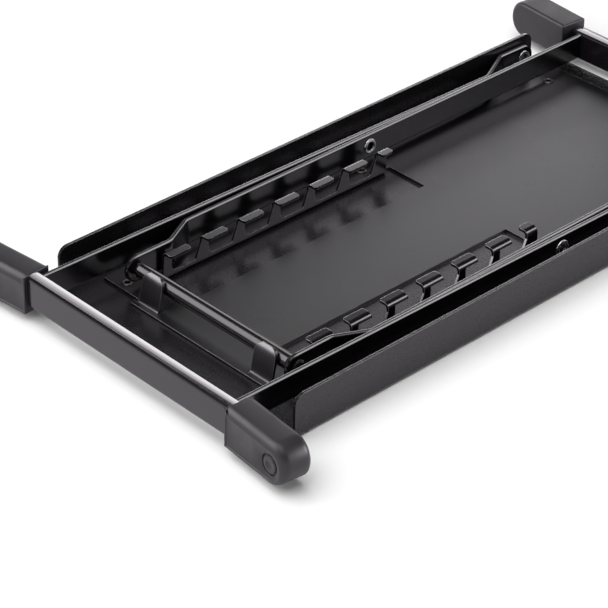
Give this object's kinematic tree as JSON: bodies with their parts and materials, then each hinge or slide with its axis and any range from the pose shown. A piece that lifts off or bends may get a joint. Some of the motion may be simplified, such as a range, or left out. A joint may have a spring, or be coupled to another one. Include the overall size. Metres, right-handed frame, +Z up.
{
  "type": "folding pedalboard foot board",
  "caption": "Folding sheet-metal foot board stored underside up, with two crossing leg frames, a notched height rack and soft capped foot tubes.",
  "frame": {"origin": "centre of the deck's tread face, which lies on the ground while the board is stored underside up", "axes": "+X along the board away from the parked cross rod, +Y towards the far skirt, +Z up, out of the tread face's back"},
  "size_m": [0.3096, 0.1778, 0.0197],
  "materials": {
    "painted_steel": "satin black powder coat",
    "painted_steel_rod": "satin black coat",
    "zinc_rivet": "bright zinc plate",
    "zinc_washer": "dull zinc plate",
    "soft_cap": "matte"
  },
  "bodies": {
    "deck": {"deck_pan": "painted_steel", "rack_plate": "painted_steel", "floor_rivets": "zinc_rivet", "deck_pivot_rivet_near": "zinc_rivet", "deck_pivot_rivet_far": "zinc_rivet", "deck_pivot_washer_near": "zinc_washer", "deck_pivot_washer_far": "zinc_washer"},
    "leg_a": {"leg_a_bar_near": "painted_steel", "leg_a_bar_far": "painted_steel", "foot_tube_a": "painted_steel", "end_cap_a_near": "soft_cap", "end_cap_a_far": "soft_cap", "scissor_rivet_near": "zinc_rivet", "scissor_rivet_far": "zinc_rivet", "scissor_washer_near": "zinc_washer", "scissor_washer_far": "zinc_washer"},
    "leg_b": {"leg_b_bar_near": "painted_steel", "leg_b_bar_far": "painted_steel", "cross_rod": "painted_steel_rod", "foot_tube_b": "painted_steel", "end_cap_b_near": "soft_cap", "end_cap_b_far": "soft_cap"}
  },
  "joints": [
    {"name": "leg_a_pivot", "type": "hinge", "parent": "deck", "child": "leg_a", "pos_m": [0.12099, 0, 0.00863], "axis": [0, 1, 0], "range_deg": [0, 69]},
    {"name": "scissor_pivot", "type": "hinge", "parent": "leg_a", "child": "leg_b", "pos_m": [0.0183, 0, 0.0103], "axis": [0, -1, 0], "range_deg": [0, 113.2]}
  ],
  "couplings": [
    {"joint": "scissor_pivot", "follows": "leg_a_pivot", "ratio": 1.64}
  ]
}
